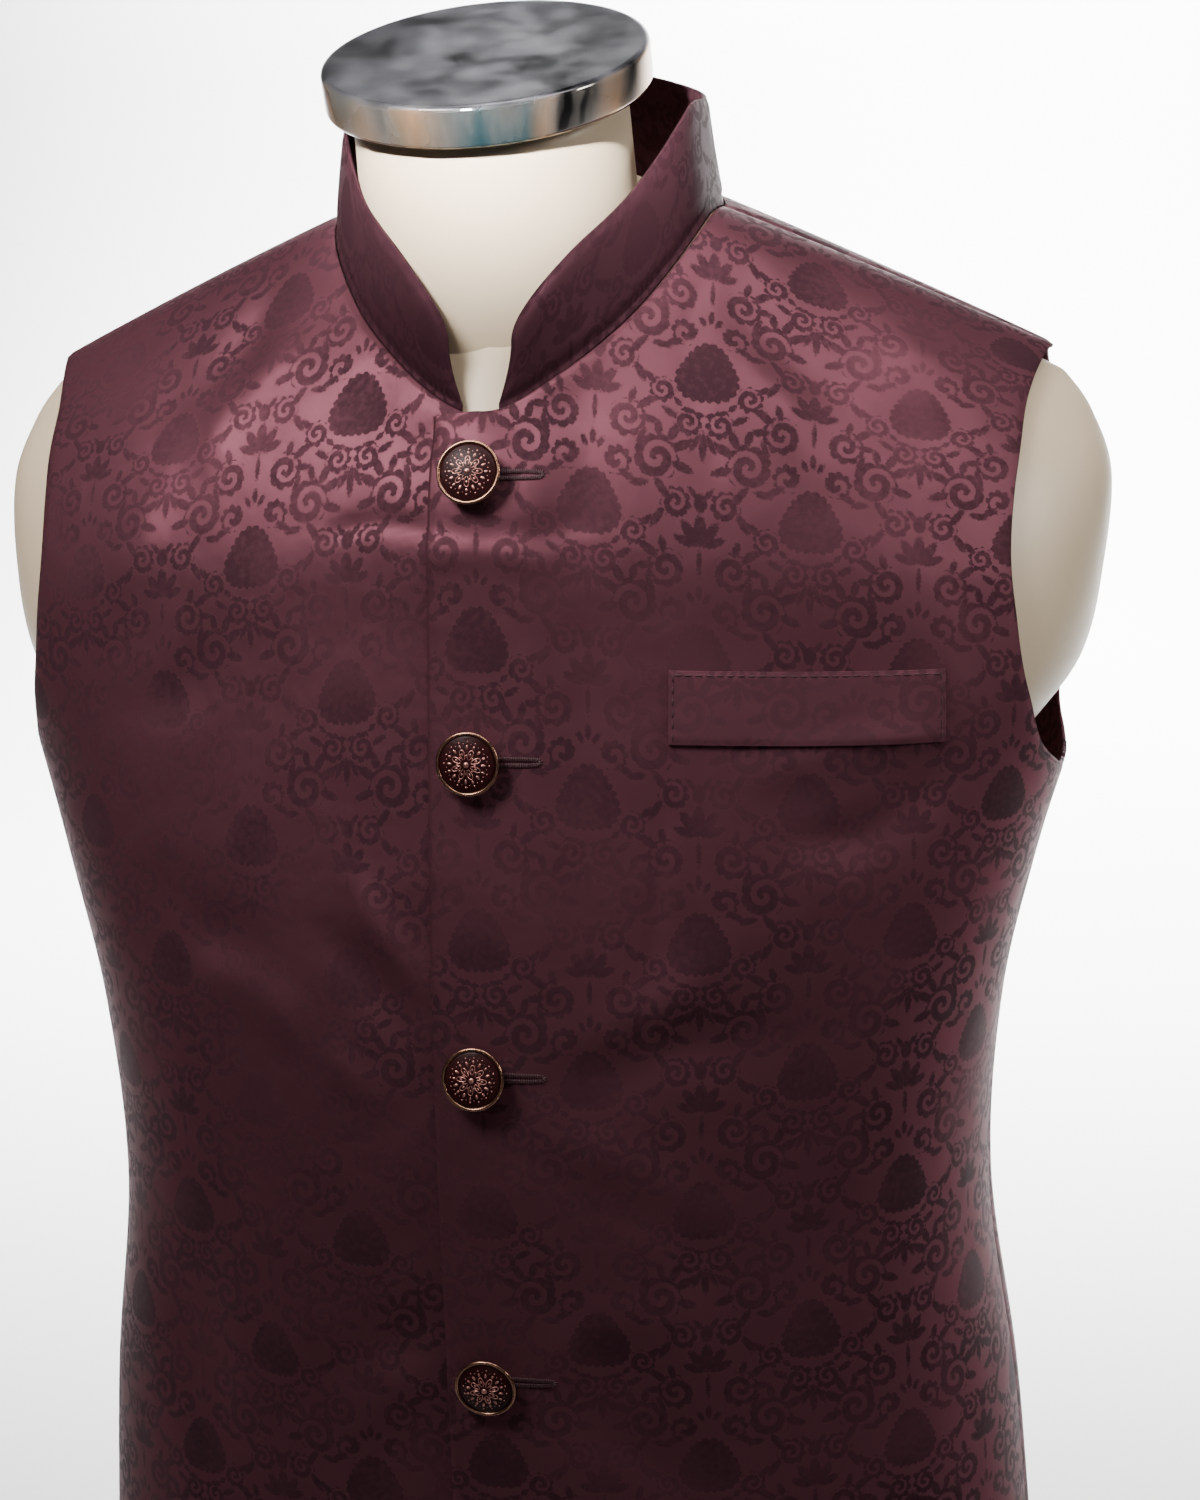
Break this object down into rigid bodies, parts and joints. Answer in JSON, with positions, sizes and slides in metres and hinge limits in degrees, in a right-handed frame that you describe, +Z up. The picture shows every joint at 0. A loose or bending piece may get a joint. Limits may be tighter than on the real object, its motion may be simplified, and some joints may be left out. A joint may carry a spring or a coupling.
{
  "type": "nehru jacket on a dress form",
  "caption": "Sleeveless band-collar jacket in wine figured satin, buttoned up, on a limbless cream dress form with a chrome neck cap",
  "frame": {"origin": "middle of the flat base of the dress form, on the surface that it stands on", "axes": "+Z up; the front of the jacket faces -Y; the wearer's left is +X"},
  "size_m": [0.422, 0.2465, 0.8091],
  "materials": {
    "jacquard": "wine-red satin jacquard with a tone-on-tone damask",
    "button_metal": "copper-gilt metal with dark wine enamel",
    "form_shell": "cream, smooth, lightly satin",
    "chrome": "polished"
  },
  "bodies": {
    "root": {"front_left": "jacquard", "front_right": "jacquard", "back": "jacquard", "collar": "jacquard", "breast_welt": "jacquard", "button_1": "button_metal", "button_2": "button_metal", "button_3": "button_metal", "button_4": "button_metal", "button_5": "button_metal", "form_torso": "form_shell", "form_neck_cap": "chrome"}
  },
  "joints": []
}
